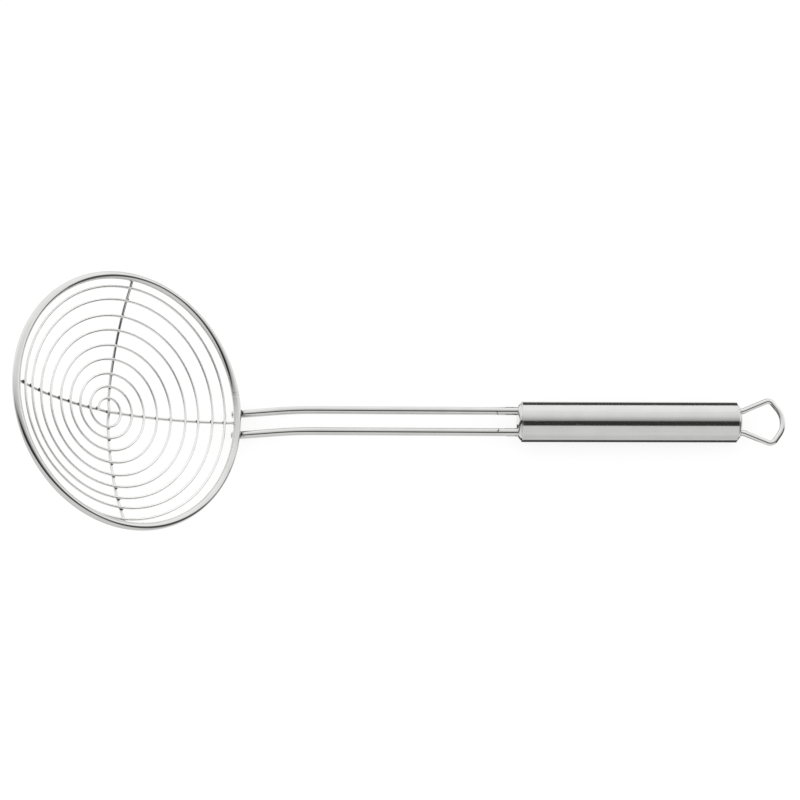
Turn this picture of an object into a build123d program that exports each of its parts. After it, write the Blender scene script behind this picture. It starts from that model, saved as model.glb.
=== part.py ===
from build123d import *
import math
import os

os.makedirs("parts", exist_ok=True)

# ---------------------------------------------------------------------------
# Spider skimmer, lying bowl up on a table.
# +X runs along the handle from the bowl to the hanging loop, +Z is up, z = 0 is
# the table. The origin is the middle of the footprint.
# ---------------------------------------------------------------------------

# handle
tube_od = 20.7            # round handle tube
tube_wall = 0.8
tube_half = 54.5          # half of the tube's length
tube_edge_round = 0.35    # rolled edge at both tube ends
cap_clearance = 0.05      # sliding fit of a cap's skirt in the tube
cap_wall = 0.8            # skirt
cap_face_wall = 1.5       # end wall
cap_skirt = 8.0           # length inside the tube
cap_dome = 2.0            # how far the cap stands out of the tube
cap_face_radius = 6.0     # flat middle of the dome
cap_shoulder = (1.35, 8.25)   # a point on the dome's shoulder, out from the tube's end

# neck rods
rod_d = 4.2
rod_spacing = 11.15       # centre to centre
rod_inner_end = -36.0     # where the rods stop inside the tube
rod_rise_start = -60.5    # just in front of the cap
neck_bend_x = -169.0
neck_bend_rise = 1.3
neck_bend_radius = 72.0
rod_overhang = 4.3        # tip length past the point under the rim
rod_tip_round = 1.0

# hanging loop
loop_d = 3.0
loop_leg_y = 5.6
loop_inner_end = 44.0

# bowl, in the rim's own frame: u toward the handle, v across, w out of the bowl
rim_r = 63.0              # centreline radius of the rim wire
rim_d = 4.0
rim_tilt = 38.9           # degrees, the rim plane against the handle axis
rim_x = -247.5            # rim centre, from the middle of the handle tube
rim_h = 36.9              # rim centre above the handle axis
coil_d = 1.4
support_d = 1.6
weld_gap = 0.05           # wires that cross are joined by a nugget this thick
butt_angle = 13.0         # where the rim wire's two ends meet
butt_width = 1.0          # degrees of arc that the weld takes

# depth of the coil below the rim plane, at equal steps of radius from the hub
# (0) to the rim (rim_r)
bowl_depth = [22.0, 21.1, 18.2, 14.0, 7.95, 0.15]

# coil radius at every quarter turn, from its inner end at the arm that points
# away from the handle, winding clockwise as seen from inside the bowl
coil_radius = [5.2, 5.9, 7.3, 9.05, 10.25, 11.7, 13.5, 14.95, 16.6, 18.05, 19.8,
               21.45, 22.9, 25.15, 26.4, 28.0, 29.3, 31.8, 33.2, 34.85, 36.3, 39.0,
               40.2, 41.15, 43.3, 45.5, 46.1, 47.3, 50.0, 52.75, 52.4, 52.8, 55.6,
               58.4, 57.7, 58.0]
coil_steps = 16           # bends in one turn
hub_shift = 1.25          # the cross wire meets the long wire this far off centre
hub_lift = 0.96           # each wire gives way by this much where they cross
long_offset, long_skew = -0.40, 0.0080   # the long wire lies a little to one side, and askew
cross_skew, cross_bow = -0.875, -1.07    # the cross wire's slant and bow, from hub to end

# ---------------------------------------------------------------------------
# derived places
# ---------------------------------------------------------------------------
tube_r = tube_od / 2
bore_r = tube_r - tube_wall
cap_r = bore_r - cap_clearance
rod_r, loop_r, rim_w, coil_r, support_r = (
    rod_d / 2, loop_d / 2, rim_d / 2, coil_d / 2, support_d / 2)
rod_y = rod_spacing / 2

tilt = math.radians(rim_tilt)
x_min = rim_x - rim_r * math.cos(tilt) - rim_w
loop_nose = 80.8          # corner of the loop's end side, before rounding
loop_nose_round = 11.5
x_max = loop_nose - loop_nose_round * (1 / math.cos(math.radians(37)) - 1) + loop_r
X0 = -(x_min + x_max) / 2
Z0 = tube_r

rim_plane = Plane(origin=(rim_x + X0, 0, rim_h + Z0),
                  x_dir=(math.cos(tilt), 0, -math.sin(tilt)),
                  z_dir=(math.sin(tilt), 0, math.cos(tilt)))


def world(u, v, w):
    """A point of the rim frame in the part's frame."""
    return rim_plane.from_local_coords(Vector(u, v, w))


def natural_spline(xs, ys):
    """Second derivatives of the natural cubic through the points."""
    n = len(xs)
    a = [0.0] * n
    b = [1.0] * n
    c = [0.0] * n
    d = [0.0] * n
    for i in range(1, n - 1):
        h0, h1 = xs[i] - xs[i - 1], xs[i + 1] - xs[i]
        a[i], b[i], c[i] = h0, 2 * (h0 + h1), h1
        d[i] = 6 * ((ys[i + 1] - ys[i]) / h1 - (ys[i] - ys[i - 1]) / h0)
    for i in range(1, n):
        m = a[i] / b[i - 1]
        b[i] -= m * c[i - 1]
        d[i] -= m * d[i - 1]
    s = [0.0] * n
    s[-1] = d[-1] / b[-1]
    for i in range(n - 2, -1, -1):
        s[i] = (d[i] - c[i] * s[i + 1]) / b[i]
    return s


def spline_at(xs, ys, s, x):
    i = 0
    while i < len(xs) - 2 and x > xs[i + 1]:
        i += 1
    h = xs[i + 1] - xs[i]
    p, q = (xs[i + 1] - x) / h, (x - xs[i]) / h
    return p * ys[i] + q * ys[i + 1] + (
        (p ** 3 - p) * s[i] + (q ** 3 - q) * s[i + 1]) * h * h / 6


# the depth curve is even about the hub, so it is laid out from side to side
depth_x = [rim_r * i / 5 for i in range(-5, 6)]
depth_y = [bowl_depth[abs(i)] for i in range(-5, 6)]
depth_s = natural_spline(depth_x, depth_y)


def depth(r):
    return spline_at(depth_x, depth_y, depth_s, max(-rim_r, min(rim_r, r)))


def slope(r):
    """Angle at which the coil's surface climbs outward."""
    return math.atan(-(depth(r + 0.2) - depth(r - 0.2)) / 0.4)


turn_x = [0.25 * i for i in range(len(coil_radius))]
turn_s = natural_spline(turn_x, coil_radius)
# the coil's outer end lies along the inner, lower side of the rim wire
coil_end_turn = 8.84375
coil_end_depth = 1.75
coil_end_radius = rim_r - math.sqrt((rim_w + coil_r + 0.03) ** 2 - coil_end_depth ** 2)


def coil_at(t):
    """Radius and depth of the coil's centreline at turn t."""
    r = spline_at(turn_x, coil_radius, turn_s, min(t, turn_x[-1]))
    d = depth(r)
    blend = min(max(0.0, (t - 8.66) / (coil_end_turn - 8.66)), 1.0)
    k = blend * blend * (3 - 2 * blend)
    return r + (coil_end_radius - r) * k, d + (coil_end_depth - d) * k


# corners of the coil's path. Each stands a little outside the wire's radius,
# so that the rounded path runs at that radius. The last quarter turn, where the
# coil runs out to the rim, has shorter runs
def outset(half_step):
    """How far out a corner stands, for runs that each turn 2 * half_step."""
    c = math.cos(half_step)
    return 1 / (0.5 * (c + 1 - 0.9 * (1 - c)))


coil_turns = [-0.6 / coil_steps]
while coil_turns[-1] < 8.62:
    coil_turns.append((len(coil_turns) - 0.5) / coil_steps)
while coil_turns[-1] < coil_end_turn - 0.5 / coil_steps:
    coil_turns.append(coil_turns[-1] + 0.5 / coil_steps)
coil_turns.append(coil_end_turn)
coil_corners = []
for i, t in enumerate(coil_turns):
    r, d = coil_at(max(t, 0.0))
    if 0 < i < len(coil_turns) - 1:
        run = min(t - coil_turns[i - 1], coil_turns[i + 1] - t)
        r *= outset(math.pi * run)
    a = math.pi - 2 * math.pi * t
    coil_corners.append((r * math.cos(a), r * math.sin(a), -d))


def rounded_path(points, share=0.45):
    """Radii that make each corner's arc as large as its two runs allow."""
    pts = [Vector(*p) for p in points]
    radii = []
    for i in range(1, len(pts) - 1):
        before, after = pts[i] - pts[i - 1], pts[i + 1] - pts[i]
        turn = math.radians(before.get_angle(after))
        radii.append(share * min(before.length, after.length) / math.tan(turn / 2))
    return pts, radii


support_drop = coil_r + support_r + weld_gap


def hub_bump(s):
    return hub_lift * math.exp(-(s / 2.9) ** 2)


def support_path(bump_sign, cross):
    """Centreline of a support wire, under the coil from rim to rim."""
    middle = long_offset + long_skew * hub_shift if cross else hub_shift

    def sideways(s):
        if cross:
            return hub_shift + cross_skew * s / 62.0 + cross_bow * (s / 62.0) ** 2
        return long_offset + long_skew * s

    stations = [-59.3, -54.0, -48.0, -41.5, -35.0, -28.5, -22.0, -16.0, -10.5,
                middle - 5.6, middle - 2.6, middle, middle + 2.6, middle + 5.6,
                10.5, 16.0, 22.0, 28.5, 35.0, 41.5, 48.0, 54.0, 59.3]
    out = []
    for s in stations:
        a = slope(abs(s))
        side = math.copysign(1, s) if s else 0
        along = s + side * support_drop * math.sin(a)
        w = -depth(abs(s)) - support_drop * math.cos(a) - 0.03
        w += bump_sign * hub_bump(s - middle)
        out.append((sideways(s), along, w) if cross else (along, sideways(s), w))
    # the ends run into the lower inner side of the rim wire
    end, low = (rim_r + 0.45, -2.2) if cross else (rim_r - 0.35, -1.35)
    first = (sideways(-end), -end, low) if cross else (-end, sideways(-end), low)
    final = (sideways(end), end, low) if cross else (end, sideways(end), low)
    return [first] + out + [final]


def wire_along(points, radius, share=0.45):
    """Path and end plane for a round wire through the points."""
    pts, radii = rounded_path(points, share)
    start = Plane(origin=pts[0], z_dir=pts[1] - pts[0])
    return pts, radii, start


# ---------------------------------------------------------------------------
# bowl
# ---------------------------------------------------------------------------
rim_section = Plane(origin=rim_plane.origin, x_dir=world(
    math.cos(math.radians(butt_angle + butt_width / 2)),
    math.sin(math.radians(butt_angle + butt_width / 2)), 0) - rim_plane.origin,
    z_dir=world(math.sin(math.radians(butt_angle + butt_width / 2)),
                -math.cos(math.radians(butt_angle + butt_width / 2)), 0) - rim_plane.origin)
rim_axis = Axis(rim_plane.origin, rim_plane.z_dir)

# rim wire: one round wire, bent into a ring whose ends nearly meet
with BuildPart() as rim_ring:
    with BuildSketch(rim_section):
        with Locations((rim_r, 0)):
            Circle(rim_w)
    revolve(axis=rim_axis, revolution_arc=360 - butt_width)
rim_ring.part.label = "rim_ring"

# butt weld that closes the ring, dressed almost flush
with BuildPart() as rim_butt_weld:
    with BuildSketch(rim_section):
        with Locations((rim_r, 0)):
            Circle(rim_w + 0.08)
    revolve(axis=rim_axis, revolution_arc=-butt_width)
rim_butt_weld.part.label = "rim_butt_weld"

# coil: a single wire wound from the hub out to the rim
coil_points = [world(*p) for p in coil_corners]
pts, radii, start = wire_along([tuple(p) for p in coil_points], coil_r)
with BuildPart() as spiral_wire:
    with BuildLine() as coil_line:
        FilletPolyline(*pts, radius=radii)
    with BuildSketch(start):
        Circle(coil_r)
    sweep(path=coil_line.wires()[0])
spiral_wire.part.label = "spiral_wire"
print("coil length", round(coil_line.wires()[0].length, 1),
      "volume", round(spiral_wire.part.volume, 1),
      "expected", round(coil_line.wires()[0].length * math.pi * coil_r ** 2, 1))

# support wire along the handle's direction, under the coil
long_points = [world(*p) for p in support_path(-1, False)]
pts, radii, start = wire_along([tuple(p) for p in long_points], support_r)
with BuildPart() as long_support_wire:
    with BuildLine() as long_line:
        FilletPolyline(*pts, radius=radii)
    with BuildSketch(start):
        Circle(support_r)
    sweep(path=long_line.wires()[0])
    # both ends are coped to sit against the rim wire
    with BuildSketch(rim_section):
        with Locations((rim_r, 0)):
            Circle(rim_w + 0.03)
    revolve(axis=rim_axis, revolution_arc=360, mode=Mode.SUBTRACT)
long_support_wire.part.label = "long_support_wire"
print("long support", round(long_support_wire.part.volume, 1), long_line.wires()[0].length * math.pi * support_r ** 2)

# support wire across the bowl; at the hub it passes over the long one
cross_points = [world(*p) for p in support_path(1, True)]
pts, radii, start = wire_along([tuple(p) for p in cross_points], support_r)
with BuildPart() as cross_support_wire:
    with BuildLine() as cross_line:
        FilletPolyline(*pts, radius=radii)
    with BuildSketch(start):
        Circle(support_r)
    sweep(path=cross_line.wires()[0])
    with BuildSketch(rim_section):
        with Locations((rim_r, 0)):
            Circle(rim_w + 0.03)
    revolve(axis=rim_axis, revolution_arc=360, mode=Mode.SUBTRACT)
cross_support_wire.part.label = "cross_support_wire"
print("cross support", round(cross_support_wire.part.volume, 1), cross_line.wires()[0].length * math.pi * support_r ** 2)

# resistance welds: a nugget wherever the coil lies on a support wire, and one
# at the hub where the two support wires cross
nugget_r = 1.1
coil_edges = coil_line.edges()
welds = []                # (point on the upper wire, its direction, its radius, same of the lower)
for first_turn, line in ((0.0, long_line), (0.25, cross_line), (0.5, long_line),
                         (0.75, cross_line)):
    support = line.wires()[0]
    turn = first_turn
    while turn < 8.7:
        i = min(range(len(coil_turns)), key=lambda j: abs(coil_turns[j] - turn))
        near = coil_edges[max(0, 2 * i - 3):2 * i + 4]
        best = min(near, key=lambda e: e.distance_to(support))
        gap, p, _ = best.distance_to_with_closest_points(support)
        under = min(support.edges(), key=lambda e: e.distance_to(p))
        gap, p, q = best.distance_to_with_closest_points(under)
        welds.append((p, best.tangent_at(p), coil_r, q, under.tangent_at(q), support_r))
        gap -= coil_r + support_r
        if abs(gap - weld_gap) > 0.05:
            print("crossing at turn", turn, "gap", round(gap, 3))
        turn += 1.0
gap, p, q = cross_line.wires()[0].distance_to_with_closest_points(long_line.wires()[0])
upper = cross_line.wires()[0].edges().sort_by_distance(p)[0]
lower = long_line.wires()[0].edges().sort_by_distance(q)[0]
welds.append((p, upper.tangent_at(p), support_r, q, lower.tangent_at(q), support_r))
print("hub gap", round(gap - 2 * support_r, 3))
nuggets = []
for p, p_dir, p_r, q, q_dir, q_r in welds:
    with BuildPart() as nugget:
        with Locations(Plane(origin=p + (q - p) * (p_r / (p_r + q_r)),
                             x_dir=p_dir + q_dir, z_dir=q - p)):
            Sphere(nugget_r)
        with Locations(Plane(origin=p, x_dir=q - p, z_dir=p_dir)):
            Cylinder(p_r + 0.01, 3.4, mode=Mode.SUBTRACT)
        with Locations(Plane(origin=q, x_dir=p - q, z_dir=q_dir)):
            Cylinder(q_r + 0.01, 3.4, mode=Mode.SUBTRACT)
    nuggets.append(nugget.part)
with BuildPart() as crossing_welds:
    add(nuggets)
crossing_welds.part.label = "crossing_welds"
print("crossing welds", len(crossing_welds.part.solids()), "of", len(welds))

nodes = {
    "rim_ring": rim_ring,
    "rim_butt_weld": rim_butt_weld,
    "spiral_wire": spiral_wire,
    "long_support_wire": long_support_wire,
    "cross_support_wire": cross_support_wire,
    "crossing_welds": crossing_welds,
}

# ---------------------------------------------------------------------------
# neck
# ---------------------------------------------------------------------------
# height of the rim wire where the rods pass below it
under_u = math.sqrt(rim_r ** 2 - rod_y ** 2)
rim_pass_x = rim_x + under_u * math.cos(tilt)
rim_pass_z = rim_h - under_u * math.sin(tilt)
reach = rim_w + rod_r + 0.03
fall = math.radians(17.0)
for _ in range(20):
    px = rim_pass_x + math.sin(fall) * reach
    pz = rim_pass_z - math.cos(fall) * reach
    fall = math.atan2(neck_bend_rise - pz, neck_bend_x - px)
tip = (px - math.cos(fall) * rod_overhang, pz - math.sin(fall) * rod_overhang)
print("neck falls", round(math.degrees(fall), 2), "deg, passes under the rim at", round(px, 2), round(pz, 2))


def rod_points(y):
    return [Vector(tip[0] + X0, y, tip[1] + Z0),
            Vector(neck_bend_x + X0, y, neck_bend_rise + Z0),
            Vector(rod_rise_start + X0, y, Z0),
            Vector(rod_inner_end + X0, y, Z0)]


rods = {}
for name, y in (("neck_rod_right", rod_y), ("neck_rod_left", -rod_y)):
    p = rod_points(y)
    with BuildPart() as rod:
        with BuildLine() as rod_line:
            FilletPolyline(*p, radius=[neck_bend_radius, 60.0])
        with BuildSketch(Plane(origin=p[0], z_dir=p[1] - p[0])):
            Circle(rod_r)
        sweep(path=rod_line.wires()[0])
        fillet(rod.edges().filter_by(GeomType.CIRCLE).sort_by(Axis.X)[0], rod_tip_round)
        chamfer(rod.edges().filter_by(GeomType.CIRCLE).sort_by(Axis.X)[-1], 0.3)
    rod.part.label = name
    rods[name] = rod
neck_rod_right, neck_rod_left = rods["neck_rod_right"], rods["neck_rod_left"]
nodes["neck_rod_right"] = neck_rod_right
nodes["neck_rod_left"] = neck_rod_left

# fillet welds where the rods pass under the rim
with BuildPart() as neck_welds:
    for y in (rod_y, -rod_y):
        cx = px - math.sin(fall) * (rod_r + 0.015)
        cz = pz + math.cos(fall) * (rod_r + 0.015)
        with Locations((cx + X0, y, cz + Z0)):
            Sphere(2.55)
    for y in (rod_y, -rod_y):
        with Locations(Plane(origin=(px + X0, y, pz + Z0),
                             z_dir=(math.cos(fall), 0, math.sin(fall)))):
            Cylinder(rod_r + 0.01, 14, mode=Mode.SUBTRACT)
    with BuildSketch(rim_section):
        with Locations((rim_r, 0)):
            Circle(rim_w + 0.01)
    revolve(axis=rim_axis, revolution_arc=360, mode=Mode.SUBTRACT)
neck_welds.part.label = "neck_welds"
nodes["neck_welds"] = neck_welds

# welds of the support wires' ends, and of the coil's outer end, to the rim
end_welds = []
for ends in (long_points, cross_points):
    for a, b in ((ends[0], ends[1]), (ends[-1], ends[-2])):
        d = (Vector(b) - Vector(a)).normalized()
        o = Vector(a) + d * 1.35
        flat = rim_plane.to_local_coords(o)
        round_rim = math.atan2(flat.Y, flat.X)
        on_rim = world(rim_r * math.cos(round_rim), rim_r * math.sin(round_rim), 0)
        along_rim = world(-math.sin(round_rim), math.cos(round_rim), 0) - world(0, 0, 0)
        with BuildPart() as end_weld:
            with Locations(Plane(origin=o, z_dir=d)):
                Sphere(1.25)
            with Locations(Plane(origin=on_rim, z_dir=along_rim)):
                Cylinder(rim_w + 0.02, 8, mode=Mode.SUBTRACT)
            with Locations(Plane(origin=o, z_dir=d)):
                Cylinder(support_r + 0.02, 6, mode=Mode.SUBTRACT)
        end_welds.append(end_weld.part)
with BuildPart() as rim_joint_welds:
    add(end_welds)
rim_joint_welds.part.label = "rim_joint_welds"
nodes["rim_joint_welds"] = rim_joint_welds
print("rim joint welds", len(rim_joint_welds.part.solids()))

# ---------------------------------------------------------------------------
# handle
# ---------------------------------------------------------------------------
handle_plane = Plane(origin=(X0, 0, Z0), x_dir=(1, 0, 0), z_dir=(0, -1, 0))
handle_axis = Axis((X0, 0, Z0), (1, 0, 0))

# drawn tube
with BuildPart() as handle_tube:
    with BuildSketch(handle_plane):
        with Locations((0, (tube_r + bore_r) / 2)):
            Rectangle(2 * tube_half, tube_wall)
    revolve(axis=handle_axis, revolution_arc=360)
    outer = handle_tube.edges().filter_by(GeomType.CIRCLE).filter_by(
        lambda e: abs(e.radius - tube_r) < 1e-3)
    fillet(outer, tube_edge_round)
handle_tube.part.label = "handle_tube"
nodes["handle_tube"] = handle_tube


# drawn caps: a skirt in the tube, a domed face outside, two holes for the wires
caps = {}
for name, side, hole_y, hole_r in (("front_end_cap", -1, rod_y, rod_r + 0.05),
                                   ("rear_end_cap", 1, loop_leg_y, loop_r + 0.05)):
    face = side * (tube_half + cap_dome)
    edge = side * (tube_half + 0.25)
    skirt = side * (tube_half - cap_skirt)
    inner = side * (tube_half + cap_dome - cap_face_wall)
    skirt_r = cap_r - cap_wall
    with BuildPart() as cap:
        with BuildSketch(handle_plane):
            with BuildLine():
                Polyline((skirt, skirt_r), (skirt, cap_r), (edge, cap_r))
                ThreePointArc((edge, cap_r),
                              (side * (tube_half + cap_shoulder[0]), cap_shoulder[1]),
                              (face, cap_face_radius))
                Polyline((face, cap_face_radius), (face, 0), (inner, 0),
                         (inner, skirt_r), (skirt, skirt_r))
            make_face()
        revolve(axis=handle_axis, revolution_arc=360)
        with Locations(Plane(origin=(X0 + side * tube_half, hole_y, Z0), z_dir=(1, 0, 0)),
                       Plane(origin=(X0 + side * tube_half, -hole_y, Z0), z_dir=(1, 0, 0))):
            Cylinder(hole_r, 12, mode=Mode.SUBTRACT)
    cap.part.label = name
    caps[name] = cap
front_end_cap, rear_end_cap = caps["front_end_cap"], caps["rear_end_cap"]
nodes["front_end_cap"] = front_end_cap
nodes["rear_end_cap"] = rear_end_cap

# hanging loop: one wire bent into a rounded triangle, both legs in the cap
nose = math.radians(53.0)
corner = (72.24, 11.75)
loop_pts = [(loop_inner_end, loop_leg_y), (57.84, loop_leg_y), corner, (loop_nose, 0),
            (corner[0], -corner[1]), (57.84, -loop_leg_y), (loop_inner_end, -loop_leg_y)]
loop_pts = [Vector(x + X0, y, Z0) for x, y in loop_pts]
with BuildPart() as hanging_loop:
    with BuildLine() as loop_line:
        FilletPolyline(*loop_pts, radius=[6.0, 3.2, loop_nose_round, 3.2, 6.0])
    with BuildSketch(Plane(origin=loop_pts[0], z_dir=(1, 0, 0))):
        Circle(loop_r)
    sweep(path=loop_line.wires()[0])
    chamfer(hanging_loop.edges().filter_by(GeomType.CIRCLE).group_by(Axis.X)[0], 0.3)
hanging_loop.part.label = "hanging_loop"
nodes["hanging_loop"] = hanging_loop


# fillet beads round the wires, on the caps' inner faces
beads = {}
for name, side, y0, wire_r, leg in (("front_cap_welds", -1, rod_y, rod_r, 0.55),
                                    ("rear_cap_welds", 1, loop_leg_y, loop_r, 0.9)):
    face = side * (tube_half + cap_dome - cap_face_wall)
    with BuildPart() as bead:
        for y in (y0, -y0):
            with BuildSketch(Plane(origin=(X0, y, Z0), x_dir=(1, 0, 0), z_dir=(0, -1, 0))):
                with BuildLine():
                    Polyline((face, wire_r + 0.01), (face, wire_r + leg),
                             (face - side * leg, wire_r + 0.01), close=True)
                make_face()
            revolve(axis=Axis((X0, y, Z0), (1, 0, 0)), revolution_arc=360)
    bead.part.label = name
    beads[name] = bead
front_cap_welds, rear_cap_welds = beads["front_cap_welds"], beads["rear_cap_welds"]
nodes["front_cap_welds"] = front_cap_welds
nodes["rear_cap_welds"] = rear_cap_welds

for name, item in nodes.items():
    export_step(item.part, "parts/" + name + ".step")
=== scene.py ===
import math

import bpy
import numpy as np
from mathutils import Matrix, Vector

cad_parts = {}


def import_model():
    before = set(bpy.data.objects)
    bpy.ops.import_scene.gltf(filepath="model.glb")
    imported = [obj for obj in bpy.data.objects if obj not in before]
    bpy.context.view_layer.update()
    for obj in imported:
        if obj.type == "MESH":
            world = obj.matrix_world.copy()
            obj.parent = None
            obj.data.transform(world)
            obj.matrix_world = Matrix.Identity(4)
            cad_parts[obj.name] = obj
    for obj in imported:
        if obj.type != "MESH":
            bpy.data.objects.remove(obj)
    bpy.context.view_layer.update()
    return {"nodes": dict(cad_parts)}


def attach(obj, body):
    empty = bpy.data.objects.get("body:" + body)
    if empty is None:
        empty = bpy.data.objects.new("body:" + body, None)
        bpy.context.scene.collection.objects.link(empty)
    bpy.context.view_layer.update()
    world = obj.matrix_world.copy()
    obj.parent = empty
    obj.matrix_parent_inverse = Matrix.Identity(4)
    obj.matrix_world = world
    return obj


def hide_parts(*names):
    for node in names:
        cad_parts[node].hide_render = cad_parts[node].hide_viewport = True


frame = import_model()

MM = 0.001
rng = np.random.default_rng(20)
scene = bpy.context.scene

# ---------------------------------------------------------------------------
# sizes, in millimetres, the same as in the construction
# ---------------------------------------------------------------------------
tube_r, tube_wall, tube_half, tube_edge = 10.35, 0.8, 54.5, 0.35
rod_r, rod_y, rod_inner_end, rod_rise = 2.1, 5.575, -36.0, -60.5
bend_x, bend_rise, bend_radius, overhang = -169.0, 1.3, 72.0, 4.3
loop_r, loop_leg_y, loop_inner_end, loop_nose = 1.5, 5.6, 44.0, 80.8
rim_r, rim_w, rim_tilt, rim_x, rim_h = 63.0, 2.0, 38.9, -247.5, 36.9
coil_r, support_r, weld_gap, hub_shift, hub_lift = 0.7, 0.8, 0.05, 1.25, 0.96
long_offset, long_skew, cross_skew, cross_bow = -0.40, 0.0080, -0.875, -1.07
bowl_depth = [22.0, 21.1, 18.2, 14.0, 7.95, 0.15]
coil_radius = [5.2, 5.9, 7.3, 9.05, 10.25, 11.7, 13.5, 14.95, 16.6, 18.05, 19.8,
               21.45, 22.9, 25.15, 26.4, 28.0, 29.3, 31.8, 33.2, 34.85, 36.3, 39.0,
               40.2, 41.15, 43.3, 45.5, 46.1, 47.3, 50.0, 52.75, 52.4, 52.8, 55.6,
               58.4, 57.7, 58.0]
coil_end_turn, coil_end_depth = 8.84375, 1.75

tilt = math.radians(rim_tilt)
x_min = rim_x - rim_r * math.cos(tilt) - rim_w
x_max = loop_nose - 11.5 * (1 / math.cos(math.radians(37)) - 1) + loop_r
X0, Z0 = -(x_min + x_max) / 2, tube_r
rim_o = np.array([rim_x + X0, 0.0, rim_h + Z0])
rim_u = np.array([math.cos(tilt), 0.0, -math.sin(tilt)])
rim_v = np.array([0.0, 1.0, 0.0])
rim_n = np.array([math.sin(tilt), 0.0, math.cos(tilt)])


def world(u, v, w):
    """Points of the rim's own frame in the part's frame, in millimetres."""
    u, v, w = np.broadcast_arrays(*[np.asarray(c, float) for c in (u, v, w)])
    return rim_o + u[..., None] * rim_u + v[..., None] * rim_v + w[..., None] * rim_n


def natural(xs, ys):
    """The natural cubic through the points, as a function."""
    xs, ys = np.asarray(xs, float), np.asarray(ys, float)
    n, h = len(xs), np.diff(xs)
    a, b = np.eye(n), np.zeros(n)
    for i in range(1, n - 1):
        a[i, i - 1:i + 2] = h[i - 1], 2 * (h[i - 1] + h[i]), h[i]
        b[i] = 6 * ((ys[i + 1] - ys[i]) / h[i] - (ys[i] - ys[i - 1]) / h[i - 1])
    s = np.linalg.solve(a, b)

    def at(x):
        x = np.asarray(x, float)
        i = np.clip(np.searchsorted(xs, x, side="right") - 1, 0, n - 2)
        q = (x - xs[i]) / h[i]
        p = 1 - q
        return p * ys[i] + q * ys[i + 1] + (
            (p ** 3 - p) * s[i] + (q ** 3 - q) * s[i + 1]) * h[i] ** 2 / 6
    return at


depth_curve = natural([rim_r * i / 5 for i in range(-5, 6)],
                      [bowl_depth[abs(i)] for i in range(-5, 6)])
turn_curve = natural([0.25 * i for i in range(len(coil_radius))], coil_radius)
coil_end_radius = rim_r - math.sqrt((rim_w + coil_r + 0.03) ** 2 - coil_end_depth ** 2)


def depth(r):
    return depth_curve(np.clip(r, -rim_r, rim_r))


def slope(r):
    return np.arctan(-(depth(r + 0.2) - depth(r - 0.2)) / 0.4)


def coil_at(t):
    """The coil's centreline at turn t."""
    t = np.asarray(t, float)
    r = turn_curve(np.minimum(t, 8.75))
    d = depth(r)
    k = np.clip((t - 8.66) / (coil_end_turn - 8.66), 0, 1)
    k = k * k * (3 - 2 * k)
    r, d = r + (coil_end_radius - r) * k, d + (coil_end_depth - d) * k
    a = math.pi - 2 * math.pi * t
    return world(r * np.cos(a), r * np.sin(a), -d)


# ---------------------------------------------------------------------------
# mesh helpers
# ---------------------------------------------------------------------------
def finish_mesh(name, verts, faces, uv, heat=None, sharp=None):
    me = bpy.data.meshes.new(name)
    me.from_pydata((np.asarray(verts) * MM).tolist(), [], faces)
    layer = me.uv_layers.new(name="run")
    layer.data.foreach_set("uv", np.asarray(uv, float).ravel())
    a = me.attributes.new("heat", "FLOAT", "POINT")
    a.data.foreach_set("value", np.asarray(
        heat if heat is not None else np.zeros(len(verts)), float))
    me.polygons.foreach_set("use_smooth", [True] * len(me.polygons))
    if sharp:
        me.set_sharp_from_angle(angle=math.radians(sharp))
    me.update()
    ob = bpy.data.objects.new(name, me)
    scene.collection.objects.link(ob)
    return ob


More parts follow.
